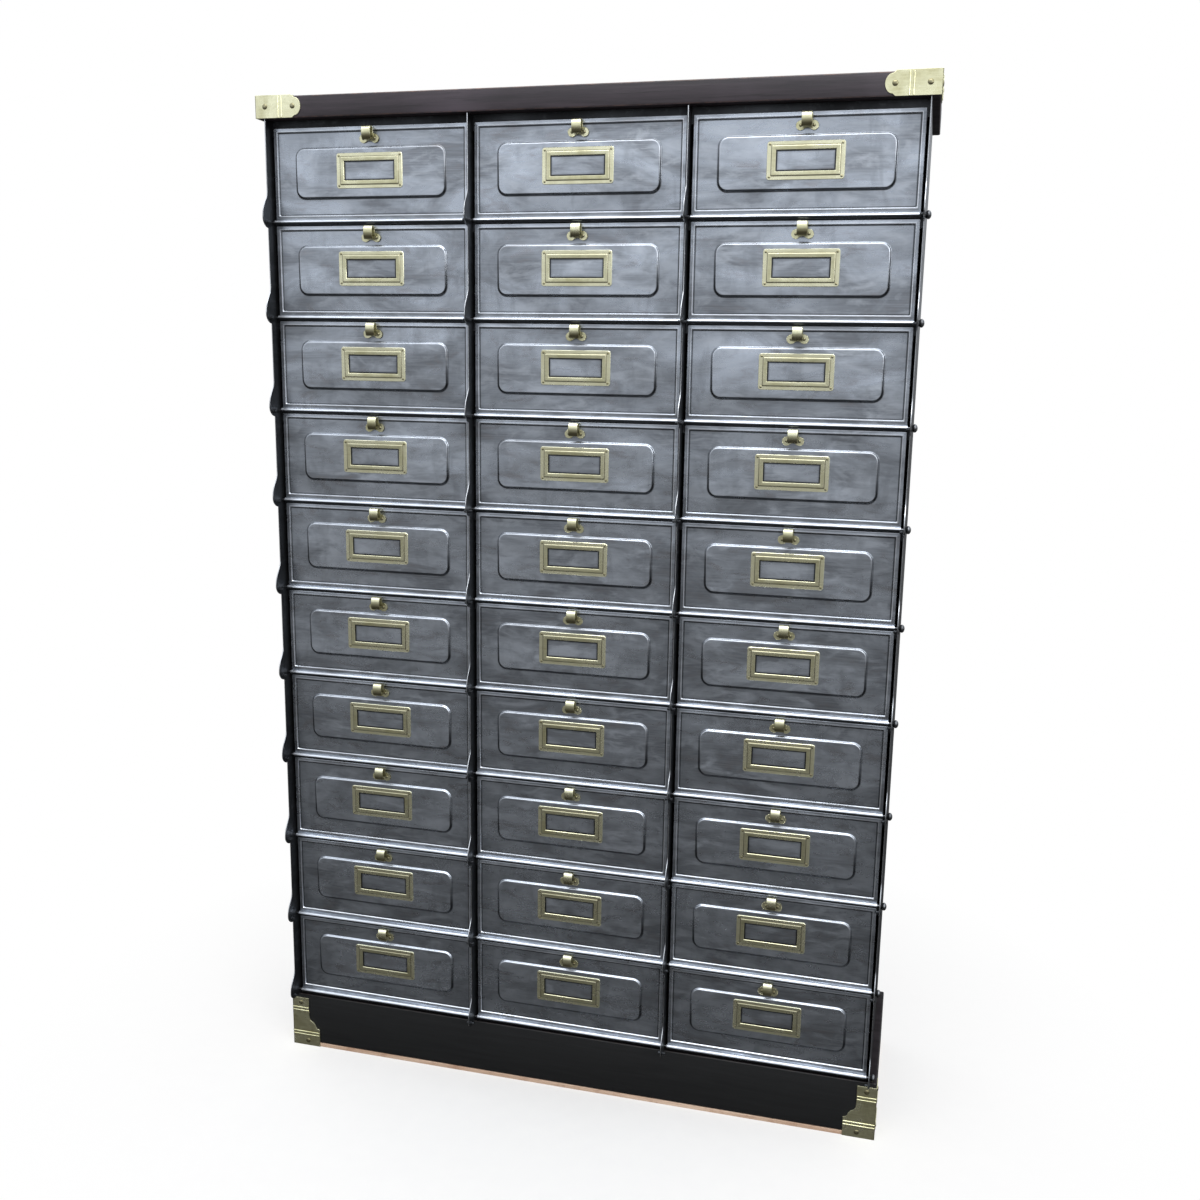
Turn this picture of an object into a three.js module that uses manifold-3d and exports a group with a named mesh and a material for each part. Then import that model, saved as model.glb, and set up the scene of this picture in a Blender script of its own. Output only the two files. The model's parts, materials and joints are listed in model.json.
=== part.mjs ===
// A filing cabinet with thirty drop-front compartments: a sheet-steel casing in three columns
// and ten rows, on a wooden plinth and under a wooden top, with brass on the four front corners.
// Every compartment has its own pressed-steel flap, rolled along its bottom edge round a long rod,
// and falls open until it lies on two stop pins in the noses of the panels beside it.
// Millimetres, +Z up, +X to the right, the flaps face -Y. The origin is at the bottom centre.

import * as THREE from "three";
import { mergeVertices } from "three/addons/utils/BufferGeometryUtils.js";
import Module from "manifold-3d";

// ---- Driving dimensions -------------------------------------------------------------------

const COLUMNS = 3;
const ROWS = 10;
const COLUMN_PITCH = 350;
const ROW_PITCH = 154;
const OVERALL_DEPTH = 352; // from the panels' noses in front to the back edge of the wood
const GAP = 0.3; // kept between any two pieces that touch in the real cabinet

// Wood
const BOARD_WIDTH = 1076; // the top and the plinth are equally wide
const BOARD_THICKNESS = 34;
const PLINTH_HEIGHT = 104;
const PLINTH_WALL = 20;
const PLINTH_DECK = 18;

// Sheet steel
const CASING_SHEET = 1.5;
const FLAP_SHEET = 1.2;
const NOSE_RISE = 50; // height over which a panel's front edge swells out to its nose
const NOSE_TIP = 6; // height of the tip over the rod
const NOSE_DROP = 10; // depth under the rod where the edge is straight again
const PIN_RADIUS = 2.5;
const PIN_LENGTH = 6; // how far a stop pin stands out of the panel
const PIN_DROP = 1; // the pin's centre lies a little under the rod's
const ROD_RADIUS = 2.2;
const ROD_HEAD_RADIUS = 4.8;
const ROD_HEAD_LENGTH = 9;
const SHELF_LIP = 17; // the turned-down front edge that each flap closes against

// Planes parallel to the front face of the flaps' hems
const NOSE_AHEAD_OF_FACE = 36;
const BOARD_AHEAD_OF_FACE = 20;
const PIN_AHEAD_OF_FACE = 24;
const PANEL_AHEAD_OF_FACE = 19;
const PLINTH_AHEAD_OF_FACE = 3;
const AXIS_AHEAD_OF_FACE = 2;
const LIP_BEHIND_FACE = 3.7;

// Flap, measured from its hinge axis
const FLAP_WIDTH = 340;
const FLAP_RISE = 148.5;
const FLAP_FOOT = 3.2; // where the sheet runs into the roll
const ROLL_OUTER = 4.2;
const ROLL_INNER = 3.1;
const HEM_WIDTH = 6;
const BOTTOM_HEM_TOP = 10.5;
const FIELD_RECESS = 2;
const EMBOSS_WIDTH = 262;
const EMBOSS_HEIGHT = 79;
const EMBOSS_DEPTH = 3;
const EMBOSS_RADIUS = 15;
const PANEL_CENTRE = 77; // height of the raised panel's centre line over the axis
const LABEL_WIDTH = 115;
const LABEL_HEIGHT = 55;
const LABEL_RISE = 3; // the label holder sits a little above that line
const LABEL_THICKNESS = 2;
const WINDOW_WIDTH = 88;
const WINDOW_HEIGHT = 30;
const WINDOW_DEPTH = 1.2;
const PULL_WIDTH = 15;
const PULL_REACH = 14;
const PULL_DROP = 22;
const PULL_STRAP = 1.8;
const EAR_RADIUS = 8;
const EAR_SPREAD = 9;

// Brass corners
const BRASS_SHEET = 1.2;
const NAIL_RADIUS = 4.6;
const NAIL_HEIGHT = 1.6;
const TOP_CORNER_LEG = 73;
const TOP_CORNER_TONGUE = 14;
const FOOT_CORNER_HEIGHT = 96;
const FOOT_CORNER_WIDE = 54;
const FOOT_CORNER_NARROW = 33;

// ---- Positions worked out from them ---------------------------------------------------------

const FRONT = -OVERALL_DEPTH / 2;
const BACK = OVERALL_DEPTH / 2;
const BRASS_PROUD = GAP + BRASS_SHEET;
const FACE_Y = FRONT + NOSE_AHEAD_OF_FACE;
const BOARD_FRONT = FACE_Y - BOARD_AHEAD_OF_FACE;
const PLINTH_FRONT = FACE_Y - PLINTH_AHEAD_OF_FACE;
const AXIS_Y = FACE_Y - AXIS_AHEAD_OF_FACE;
const PIN_Y = FACE_Y - PIN_AHEAD_OF_FACE;
const PANEL_FRONT = FACE_Y - PANEL_AHEAD_OF_FACE;
const LIP_FRONT = FACE_Y + LIP_BEHIND_FACE;
const CASING_BACK = BACK - 8;
const PANEL_BACK = CASING_BACK - FLAP_SHEET - GAP;
const MIDDLE_Y = (LIP_FRONT + CASING_BACK) / 2;
const LOWEST_AXIS_Z = PLINTH_HEIGHT + 8.5;
const CASING_TOP = axisHeight(0) + ROW_PITCH + 7;
const TOP_SHEET_Z = CASING_TOP - GAP;
const SIDE_X = (COLUMNS * COLUMN_PITCH) / 2;
const INNER_X = SIDE_X - CASING_SHEET / 2 - GAP;

function axisHeight(row) {
  return LOWEST_AXIS_Z + (ROWS - 1 - row) * ROW_PITCH;
}

function shelfHeight(row) {
  return axisHeight(row) - 1;
}

function columnCentre(column) {
  return (column - (COLUMNS - 1) / 2) * COLUMN_PITCH;
}

// ---- Materials ------------------------------------------------------------------------------

const steel = new THREE.MeshStandardMaterial({ color: 0x6f757d, roughness: 0.38, metalness: 0.9 });
const casingSteel = new THREE.MeshStandardMaterial({ color: 0x34383d, roughness: 0.5, metalness: 0.8 });
const rodSteel = new THREE.MeshStandardMaterial({ color: 0x8a8f96, roughness: 0.35, metalness: 0.95 });
const brass = new THREE.MeshStandardMaterial({ color: 0xb9a865, roughness: 0.35, metalness: 0.95 });
const darkWood = new THREE.MeshStandardMaterial({ color: 0x2c2528, roughness: 0.55, metalness: 0 });

// ---- Solids ---------------------------------------------------------------------------------

const wasm = await Module();
wasm.setup();

function solidOf(geometry) {
  geometry.deleteAttribute("normal");
  geometry.deleteAttribute("uv");
  const merged = mergeVertices(geometry, 1e-4);
  const vertProperties = new Float32Array(merged.attributes.position.array);
  const triVerts = new Uint32Array(merged.index.array);
  return new wasm.Manifold(new wasm.Mesh({ numProp: 3, vertProperties, triVerts }));
}

function addPiece(name, solid, material) {
  const { vertProperties, triVerts } = solid.getMesh();
  const geometry = new THREE.BufferGeometry();
  geometry.setAttribute("position", new THREE.BufferAttribute(vertProperties, 3));
  geometry.setIndex(new THREE.BufferAttribute(triVerts, 1));
  geometry.computeVertexNormals();
  const piece = new THREE.Mesh(geometry, material);
  piece.name = name;
  cabinet.add(piece);
  return piece;
}

function block([x0, x1], [y0, y1], [z0, z1]) {
  const box = new THREE.BoxGeometry(x1 - x0, y1 - y0, z1 - z0);
  return solidOf(box.translate((x0 + x1) / 2, (y0 + y1) / 2, (z0 + z1) / 2));
}

// A shape drawn in (y, z) and carried from x0 to x1.
function alongX(shape, x0, x1, curveSegments = 3) {
  const geometry = new THREE.ExtrudeGeometry(shape, { depth: x1 - x0, bevelEnabled: false, curveSegments });
  const turn = new THREE.Matrix4().set(0, 0, 1, x0, 1, 0, 0, 0, 0, 1, 0, 0, 0, 0, 0, 1);
  return solidOf(geometry.applyMatrix4(turn));
}

// A shape drawn in (x, z) and carried from y1 forwards to y0.
function alongY(shape, y0, y1, curveSegments = 3) {
  const geometry = new THREE.ExtrudeGeometry(shape, { depth: y1 - y0, bevelEnabled: false, curveSegments });
  const turn = new THREE.Matrix4().set(1, 0, 0, 0, 0, 0, -1, y1, 0, 1, 0, 0, 0, 0, 0, 1);
  return solidOf(geometry.applyMatrix4(turn));
}

function polygon(points) {
  return new THREE.Shape(points.map(([a, b]) => new THREE.Vector2(a, b)));
}

function roundedRectangle(width, height, radius, x = 0, z = 0) {
  const right = x + width / 2;
  const left = x - width / 2;
  const top = z + height / 2;
  const bottom = z - height / 2;
  const shape = new THREE.Shape();
  shape.absarc(right - radius, bottom + radius, radius, -Math.PI / 2, 0, false);
  shape.absarc(right - radius, top - radius, radius, 0, Math.PI / 2, false);
  shape.absarc(left + radius, top - radius, radius, Math.PI / 2, Math.PI, false);
  shape.absarc(left + radius, bottom + radius, radius, Math.PI, 1.5 * Math.PI, false);
  return shape;
}

// Small circles are drawn with six or eight sides, enough for holes and pins of 5 to 8 mm.
function ring(sides, radius, a = 0, b = 0) {
  const points = [];
  for (let corner = 0; corner < sides; corner++) {
    const angle = ((corner + 0.5) / sides) * 2 * Math.PI;
    points.push([a + radius * Math.cos(angle), b + radius * Math.sin(angle)]);
  }
  return polygon(points);
}

// ---- Casing ---------------------------------------------------------------------------------

// The front edge of a side or divider: straight, swelling out to a nose in front of each rod.
function panelOutline(top) {
  const shape = new THREE.Shape();
  shape.moveTo(PANEL_BACK, PLINTH_HEIGHT + GAP);
  shape.lineTo(PANEL_BACK, top);
  shape.lineTo(PANEL_FRONT, top);
  for (let row = 0; row < ROWS; row++) {
    const z = axisHeight(row);
    const drop = row === ROWS - 1 ? z - PLINTH_HEIGHT - GAP : NOSE_DROP;
    shape.lineTo(PANEL_FRONT, z + NOSE_RISE);
    shape.bezierCurveTo(PANEL_FRONT, z + 34, FRONT, z + 30, FRONT, z + NOSE_TIP);
    shape.bezierCurveTo(FRONT, z - 3, PANEL_FRONT - 7, z - drop, PANEL_FRONT, z - drop);
  }
  shape.closePath();
  return shape;
}

// A panel has a hole for each rod and carries a stop pin in each nose.
function panel(x, top, [pinStart, pinEnd]) {
  const half = CASING_SHEET / 2;
  const outline = panelOutline(top);
  for (let row = 0; row < ROWS; row++) {
    outline.holes.push(ring(6, ROLL_INNER, AXIS_Y, axisHeight(row)));
  }
  let sheet = alongX(outline, x - half, x + half, 3);
  for (let row = 0; row < ROWS; row++) {
    const pin = ring(6, PIN_RADIUS, PIN_Y, axisHeight(row) - PIN_DROP);
    sheet = sheet.add(alongX(pin, x + pinStart, x + pinEnd));
  }
  return sheet;
}

function addSides() {
  const inwards = PIN_LENGTH + CASING_SHEET / 2;
  const outwards = CASING_SHEET / 2 + 1;
  addPiece("side_left", panel(-SIDE_X, TOP_SHEET_Z, [-outwards, inwards]), casingSteel);
  addPiece("side_right", panel(SIDE_X, TOP_SHEET_Z, [-inwards, outwards]), casingSteel);
}

// Dividers are slotted from the back and shelves from the front, so that they cross like an egg crate.
function addDividers() {
  const reach = PIN_LENGTH + CASING_SHEET / 2;
  for (let number = 1; number < COLUMNS; number++) {
    const x = number * COLUMN_PITCH - SIDE_X;
    let sheet = panel(x, TOP_SHEET_Z - FLAP_SHEET - GAP, [-reach, reach]);
    for (let row = 0; row < ROWS - 1; row++) {
      const z = shelfHeight(row);
      const slot = block([x - 5, x + 5], [MIDDLE_Y, BACK], [z - FLAP_SHEET - GAP, z + GAP]);
      sheet = sheet.subtract(slot);
    }
    addPiece(`divider_${number}`, sheet, casingSteel);
  }
}

function addShelves() {
  for (let row = 0; row < ROWS - 1; row++) {
    const top = shelfHeight(row);
    let shelf = block([-INNER_X, INNER_X], [LIP_FRONT, PANEL_BACK], [top - FLAP_SHEET, top]);
    const lip = block([-INNER_X, INNER_X], [LIP_FRONT, LIP_FRONT + FLAP_SHEET], [top - SHELF_LIP, top]);
    shelf = shelf.add(lip);
    for (let number = 1; number < COLUMNS; number++) {
      const x = number * COLUMN_PITCH - SIDE_X;
      const half = CASING_SHEET / 2 + GAP;
      const slot = block([x - half, x + half], [FRONT, MIDDLE_Y + GAP], [top - 2 * SHELF_LIP, top + 1]);
      shelf = shelf.subtract(slot);
    }
    addPiece(`shelf_${String(row + 1).padStart(2, "0")}`, shelf, casingSteel);
  }
}

// The back is one sheet with the casing's top, folded forwards and then down to a lip.
function addBackAndTop() {
  const lipEnd = shelfHeight(-1) - SHELF_LIP;
  const under = TOP_SHEET_Z - FLAP_SHEET;
  const outline = polygon([
    [CASING_BACK, PLINTH_HEIGHT + GAP],
    [CASING_BACK, TOP_SHEET_Z],
    [LIP_FRONT, TOP_SHEET_Z],
    [LIP_FRONT, lipEnd],
    [LIP_FRONT + FLAP_SHEET, lipEnd],
    [LIP_FRONT + FLAP_SHEET, under],
    [CASING_BACK - FLAP_SHEET, under],
    [CASING_BACK - FLAP_SHEET, PLINTH_HEIGHT + GAP],
  ]);
  let sheet = alongX(outline, -INNER_X, INNER_X);
  for (let number = 1; number < COLUMNS; number++) {
    const x = number * COLUMN_PITCH - SIDE_X;
    const half = CASING_SHEET / 2 + GAP;
    const notch = block([x - half, x + half], [FRONT, LIP_FRONT + 5], [lipEnd - 1, under]);
    sheet = sheet.subtract(notch);
  }
  addPiece("back_and_top_sheet", sheet, casingSteel);
}

// ---- Hinge rods -----------------------------------------------------------------------------

function addRods() {
  const shank = SIDE_X + CASING_SHEET / 2 + GAP;
  const neck = shank + ROD_HEAD_LENGTH * 0.3;
  const half = [
    [ROD_RADIUS, neck],
    [ROD_HEAD_RADIUS, neck + ROD_HEAD_LENGTH * 0.15],
    [ROD_HEAD_RADIUS, neck + ROD_HEAD_LENGTH * 0.4],
    [0, shank + ROD_HEAD_LENGTH],
  ].map(([radius, along]) => new THREE.Vector2(radius, along));
  const mirrored = half.map(({ x, y }) => new THREE.Vector2(x, -y)).reverse();
  for (let row = 0; row < ROWS; row++) {
    const geometry = new THREE.LatheGeometry([...mirrored, ...half], 7);
    geometry.rotateZ(-Math.PI / 2).translate(0, AXIS_Y, axisHeight(row));
    addPiece(`hinge_rod_${String(row + 1).padStart(2, "0")}`, solidOf(geometry), rodSteel);
  }
}

// ---- Flaps ----------------------------------------------------------------------------------
// A flap is drawn round its own axis: x across, y backwards and z upwards from the rod's centre.

const HEM_Y = AXIS_AHEAD_OF_FACE;
const FIELD_Y = HEM_Y + FIELD_RECESS;
const SHEET_BACK_Y = FIELD_Y + FLAP_SHEET;
const EMBOSS_Y = FIELD_Y - EMBOSS_DEPTH;

function pressedSheet() {
  const half = FLAP_WIDTH / 2;
  const inner = half - HEM_WIDTH;
  const plate = block([-half, half], [HEM_Y, SHEET_BACK_Y], [FLAP_FOOT, FLAP_RISE]);
  const recess = block([-inner, inner], [0, FIELD_Y], [BOTTOM_HEM_TOP, FLAP_RISE - HEM_WIDTH]);
  const raised = roundedRectangle(EMBOSS_WIDTH, EMBOSS_HEIGHT, EMBOSS_RADIUS, 0, PANEL_CENTRE);
  const bossWidth = EMBOSS_WIDTH - 2 * FLAP_SHEET;
  const bossHeight = EMBOSS_HEIGHT - 2 * FLAP_SHEET;
  const sunk = roundedRectangle(bossWidth, bossHeight, EMBOSS_RADIUS - FLAP_SHEET, 0, PANEL_CENTRE);
  return plate
    .subtract(recess)
    .add(alongY(raised, EMBOSS_Y, FIELD_Y + FLAP_SHEET / 2, 1))
    .subtract(alongY(sunk, EMBOSS_Y + FLAP_SHEET, SHEET_BACK_Y + 1, 1));
}

function hingeRoll() {
  const roll = ring(8, ROLL_OUTER);
  roll.holes.push(ring(6, ROLL_INNER));
  return alongX(roll, -FLAP_WIDTH / 2, FLAP_WIDTH / 2);
}

function labelHolder() {
  const z = PANEL_CENTRE + LABEL_RISE;
  const front = EMBOSS_Y - LABEL_THICKNESS;
  const across = (width) => [-width / 2, width / 2];
  const upright = (height) => [z - height / 2, z + height / 2];
  const frame = block(across(LABEL_WIDTH), [front, EMBOSS_Y + FLAP_SHEET / 2], upright(LABEL_HEIGHT));
  const window = block(across(WINDOW_WIDTH), [front - 1, front + WINDOW_DEPTH], upright(WINDOW_HEIGHT));
  return frame.subtract(window);
}

// A strap over the hem's top edge, curled forwards and down, on a base with two round ears.
function pull() {
  const top = FLAP_RISE - 0.4;
  const reach = HEM_Y - PULL_REACH;
  const curl = polygon([
    [HEM_Y + 0.5, top - 5],
    [HEM_Y + 0.5, top],
    [reach + 4, top - 1],
    [reach, top - 8],
    [reach + 2, top - 16],
    [reach + 6, top - PULL_DROP],
    [reach + PULL_STRAP * 1.8, top - 15],
    [reach + PULL_STRAP, top - 8],
    [reach + 5, top - PULL_STRAP - 1],
    [HEM_Y - 2, top - PULL_STRAP - 1],
  ]);
  const earBottom = top - PULL_DROP - EAR_RADIUS;
  const base = polygon([
    [-EAR_SPREAD, earBottom],
    [EAR_SPREAD, earBottom],
    [EAR_SPREAD + EAR_RADIUS, earBottom + EAR_RADIUS],
    [PULL_WIDTH / 2, top - 6],
    [-PULL_WIDTH / 2, top - 6],
    [-EAR_SPREAD - EAR_RADIUS, earBottom + EAR_RADIUS],
  ]);
  const strap = alongX(curl, -PULL_WIDTH / 2, PULL_WIDTH / 2);
  return strap.add(alongY(base, HEM_Y - 1.2, FIELD_Y + FLAP_SHEET / 2));
}

function addFlaps() {
  const flap = pressedSheet().add(hingeRoll()).add(labelHolder()).add(pull());
  for (let row = 0; row < ROWS; row++) {
    for (let column = 0; column < COLUMNS; column++) {
      const name = `flap_r${String(row + 1).padStart(2, "0")}_c${column + 1}`;
      const piece = addPiece(name, flap, steel);
      piece.position.set(columnCentre(column), AXIS_Y, axisHeight(row));
    }
  }
}

// ---- Wood -----------------------------------------------------------------------------------

function addWood() {
  const width = [-BOARD_WIDTH / 2, BOARD_WIDTH / 2];
  const top = block(width, [BOARD_FRONT, BACK], [CASING_TOP, CASING_TOP + BOARD_THICKNESS]);
  addPiece("top_board", top, darkWood);
  const insideX = [-BOARD_WIDTH / 2 + PLINTH_WALL, BOARD_WIDTH / 2 - PLINTH_WALL];
  const insideY = [PLINTH_FRONT + PLINTH_WALL, BACK - PLINTH_WALL];
  const hollow = block(insideX, insideY, [-1, PLINTH_HEIGHT - PLINTH_DECK]);
  const plinth = block(width, [PLINTH_FRONT, BACK], [0, PLINTH_HEIGHT]).subtract(hollow);
  addPiece("plinth", plinth, darkWood);
}

// ---- Brass corners --------------------------------------------------------------------------
// Each corner is drawn at the right-hand end of a board whose front is at y = front, then mirrored
// for the left-hand end. Distances along a leg run from the outside of the fold.

const LEG_X = BOARD_WIDTH / 2 + GAP;
const FOLD_X = LEG_X + BRASS_SHEET;

function legs(front, outline) {
  const inside = front - GAP;
  const fold = inside - BRASS_SHEET;
  const facing = alongY(outline((along) => FOLD_X - along), fold, inside, 4);
  return facing.add(alongX(outline((along) => fold + along), LEG_X, FOLD_X, 4));
}

function nails(front, spots) {
  const inside = front - GAP;
  const length = BRASS_SHEET / 2 + NAIL_HEIGHT;
  const proud = BRASS_SHEET / 2 + length / 2;
  return spots.flatMap(([along, z]) => {
    const facing = new THREE.CylinderGeometry(NAIL_RADIUS * 0.8, NAIL_RADIUS, length, 7);
    const side = facing.clone();
    facing.rotateX(Math.PI).translate(FOLD_X - along, inside - proud, z);
    side.rotateZ(-Math.PI / 2).translate(LEG_X + proud, inside - BRASS_SHEET + along, z);
    return [solidOf(facing), solidOf(side)];
  });
}

function joined(solids) {
  return solids.reduce((whole, solid) => whole.add(solid));
}

function topCorner() {
  const low = CASING_TOP;
  const high = CASING_TOP + BOARD_THICKNESS + BRASS_PROUD;
  const middle = (low + high) / 2;
  const outline = (at) => {
    const points = [[0, low], [TOP_CORNER_LEG, low], [TOP_CORNER_LEG, middle - TOP_CORNER_TONGUE]];
    for (let step = 1; step < 6; step++) {
      const angle = (step / 6 - 0.5) * Math.PI;
      const bulge = TOP_CORNER_TONGUE * 0.75 * Math.cos(angle);
      points.push([TOP_CORNER_LEG + bulge, middle + TOP_CORNER_TONGUE * Math.sin(angle)]);
    }
    points.push([TOP_CORNER_LEG, middle + TOP_CORNER_TONGUE], [TOP_CORNER_LEG, high], [0, high]);
    return polygon(points.map(([along, z]) => [at(along), z]));
  };
  const fold = BOARD_FRONT - BRASS_PROUD;
  const capX = [FOLD_X - TOP_CORNER_LEG, FOLD_X];
  const capY = [fold, fold + TOP_CORNER_LEG];
  const cap = block(capX, capY, [high - BRASS_SHEET, high]);
  const spots = [[18, middle], [TOP_CORNER_LEG, middle]];
  return joined([legs(BOARD_FRONT, outline), cap, ...nails(BOARD_FRONT, spots)]);
}

function footCorner() {
  const low = GAP;
  const high = low + FOOT_CORNER_HEIGHT;
  const step = (FOOT_CORNER_WIDE - FOOT_CORNER_NARROW) / 2;
  const outline = (at) => {
    const points = [
      [0, low],
      [FOOT_CORNER_WIDE, low],
      [FOOT_CORNER_WIDE, low + 36],
      [FOOT_CORNER_WIDE - step * 0.7, low + 38.5],
      [FOOT_CORNER_WIDE - step, low + 46],
      [FOOT_CORNER_WIDE - step * 1.7, low + 48.5],
      [FOOT_CORNER_NARROW, low + 56],
      [FOOT_CORNER_NARROW, high],
      [0, high],
    ];
    return polygon(points.map(([along, z]) => [at(along), z]));
  };
  const spots = [[17, high - 10], [17, low + 8], [44, low + 8]];
  return joined([legs(PLINTH_FRONT, outline), ...nails(PLINTH_FRONT, spots)]);
}

function addCorners() {
  const kinds = [["top_corner", topCorner()], ["foot_corner", footCorner()]];
  for (const [name, right] of kinds) {
    addPiece(`${name}_right`, right, brass);
    addPiece(`${name}_left`, right.mirror([1, 0, 0]), brass);
  }
}

// ---- Assembly -------------------------------------------------------------------------------

const cabinet = new THREE.Group();
cabinet.name = "card_catalog_cabinet";
addWood();
addSides();
addDividers();
addShelves();
addBackAndTop();
addRods();
addFlaps();
addCorners();

export default cabinet;
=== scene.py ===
# The looks of a steel filing cabinet with thirty drop-front compartments, built round its packed
# CAD frame. Metres, +Z up, +X to the right, the flaps face -Y. Lengths are given in millimetres
# and turned into metres by MM. A flap's own sizes are measured from its hinge axis.

import json
import math

import bmesh
import bpy
from mathutils import Matrix, Vector


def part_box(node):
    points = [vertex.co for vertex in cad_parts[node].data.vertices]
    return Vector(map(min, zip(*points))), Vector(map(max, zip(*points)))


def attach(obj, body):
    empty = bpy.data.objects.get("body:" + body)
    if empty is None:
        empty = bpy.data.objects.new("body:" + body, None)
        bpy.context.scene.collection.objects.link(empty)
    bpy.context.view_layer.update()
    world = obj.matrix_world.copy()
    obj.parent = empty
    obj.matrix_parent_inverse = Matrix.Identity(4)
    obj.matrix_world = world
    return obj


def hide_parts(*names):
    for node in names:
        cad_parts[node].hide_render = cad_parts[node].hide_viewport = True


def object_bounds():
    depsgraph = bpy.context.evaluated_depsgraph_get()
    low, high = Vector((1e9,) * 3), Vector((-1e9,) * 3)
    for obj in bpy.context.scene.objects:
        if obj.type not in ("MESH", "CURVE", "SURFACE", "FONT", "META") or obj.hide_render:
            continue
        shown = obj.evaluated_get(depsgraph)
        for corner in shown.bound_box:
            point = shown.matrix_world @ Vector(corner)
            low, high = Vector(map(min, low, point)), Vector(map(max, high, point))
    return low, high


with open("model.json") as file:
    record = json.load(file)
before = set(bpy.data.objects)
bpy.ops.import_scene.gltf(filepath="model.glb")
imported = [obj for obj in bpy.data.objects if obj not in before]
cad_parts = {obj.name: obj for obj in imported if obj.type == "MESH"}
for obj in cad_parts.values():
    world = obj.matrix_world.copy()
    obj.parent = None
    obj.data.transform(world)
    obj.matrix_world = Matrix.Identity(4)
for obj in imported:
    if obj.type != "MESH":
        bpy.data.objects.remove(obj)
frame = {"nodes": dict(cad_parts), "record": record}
CAD_LOW, CAD_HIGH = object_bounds()

MM = 0.001
FORWARDS = Vector((0, -1, 0))
SIDEWAYS = Vector((1, 0, 0))
CASING = "casing"
HINGES = {
    joint["child"]: Vector(joint["pos_m"]) for joint in frame["record"]["behaviour"]["joints"]
}
FLAPS = sorted(HINGES)
RODS = sorted(node for node in frame["nodes"] if node.startswith("hinge_rod"))
SHELVES = sorted(node for node in frame["nodes"] if node.startswith("shelf"))
AXIS_Y = HINGES[FLAPS[0]].y
AXIS_HEIGHTS = sorted({round(place.z, 5) for place in HINGES.values()}, reverse=True)

# The pressed sheet of a flap; angles are in degrees
FLAP_WIDTH = 340 * MM
FLAP_FOOT = 3.2 * MM
FLAP_RISE = 148.5 * MM
HEM_Y = 2 * MM
HEM_WIDTH = 6 * MM
BOTTOM_HEM_TOP = 10.5 * MM
SHEET = 1.2 * MM
RECESS = 2 * MM
EMBOSS_WIDTH = 262 * MM
EMBOSS_HEIGHT = 79 * MM
EMBOSS_DEPTH = 3 * MM
EMBOSS_RADIUS = 15 * MM
PANEL_CENTRE = 77 * MM
PANEL_Y = HEM_Y + RECESS - EMBOSS_DEPTH
ROLL_RADIUS = 4.2 * MM
ROLL_SHEET = 1.1 * MM
ROLL_SWEEP = 292
ROLL_NECK = 6 * MM
ROLL_LIT_ABOVE = 0.5 * MM
FIELD_DARKENING = 0.14  # how much the flat field round the raised panel is darkened

# Brass on a flap
LABEL_CENTRE = 80 * MM
LABEL_WIDTH = 115 * MM
LABEL_HEIGHT = 55 * MM
WINDOW_WIDTH = 88 * MM
WINDOW_HEIGHT = 30 * MM
WINDOW_FRAME = 13 * MM
LABEL_SHEET = 1.1 * MM
BEAD_HEIGHT = 0.85 * MM
LABEL_RIVET_INSET = 4.2 * MM
LABEL_RIVET_RADIUS = 1.9 * MM
LABEL_RIVET_HEIGHT = 0.95 * MM
HOLDER_SHADE = (  # (the holder's loop from outside in, how dark it is painted; painted shade in the groove round the raised frame and at the window's edge)
    (4, 0.1), (5, 0.95), (6, 0.85), (7, 0.2), (8, 0.16), (9, 0.16), (11, 0.85), (12, 1.0),
)
CARD_RIMS = (  # (mm past the window, mm ahead of the panel, how dark its painted shadow is)
    (1.5, 0.05, 1.0), (1.5, 0.3, 1.0), (0, 0.35, 1.0),
    (-1.4, 0.35, 0.95), (-2.6, 0.35, 0.2), (-5, 0.35, 0.0),
)
PULL_TOP = FLAP_RISE - 0.4 * MM
PULL_SHEET = 1.7 * MM
PULL_WIDTH = 15 * MM
PULL_REACH = 14 * MM
PULL_SHADE_TOP = FLAP_RISE - 10 * MM
PULL_SHADE_LENGTH = 9 * MM
EAR_RADIUS = 7 * MM
EAR_SPREAD = 9.8 * MM
EAR_CENTRE = PULL_TOP - 19 * MM
EAR_START = 105
EAR_SWEEP = 210
EAR_RIVET_RADIUS = 2.6 * MM
EAR_RIVET_HEIGHT = 1.4 * MM
PULL_BASE_FRONT = HEM_Y - 0.5 * MM

# Casing
COLUMN_PITCH = 350 * MM
OUTER_WALL_X = max(place.x for place in HINGES.values()) + COLUMN_PITCH / 2
PANEL_SHEET = 1.5 * MM
FLANGE_WIDTH = 14 * MM
FLANGE_GAP = 0.2 * MM
OUTWARDS = {"side_left": -1, "side_right": 1}
PANEL_AHEAD_OF_AXIS = 17 * MM
NOSE_AHEAD_OF_AXIS = 34 * MM
NOSE_RISE = 50 * MM
NOSE_TIP = 6 * MM
NOSE_DROP = 10 * MM
PIN_AHEAD_OF_AXIS = 22 * MM
PIN_DROP = 1 * MM
PIN_RADIUS = 2.5 * MM
BOSS_RADIUS = 4 * MM
PIN_LENGTH = 6 * MM
PIN_BOSS_HEIGHT = 1.2 * MM
BARE_BOSS_HEIGHT = 1.6 * MM
ROD_RADIUS = 2.2 * MM
COLLAR_RADIUS = 4.6 * MM
KNOB_RADIUS = 6.4 * MM
KNOB_HALF_LENGTH = 4.3 * MM
KNOB_SWEEP = 140

# Wood
BOARD_CORNER = 3 * MM
TOP_ROUNDING = 2.2 * MM
PLINTH_ROUNDING = 1.8 * MM
PLINTH_WALL = 20 * MM
PLINTH_DECK = 18 * MM
STRIP_HEIGHT = 8 * MM
STRIP_ROUNDING = 1 * MM
STRIP_GAP = 0.3 * MM

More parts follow.
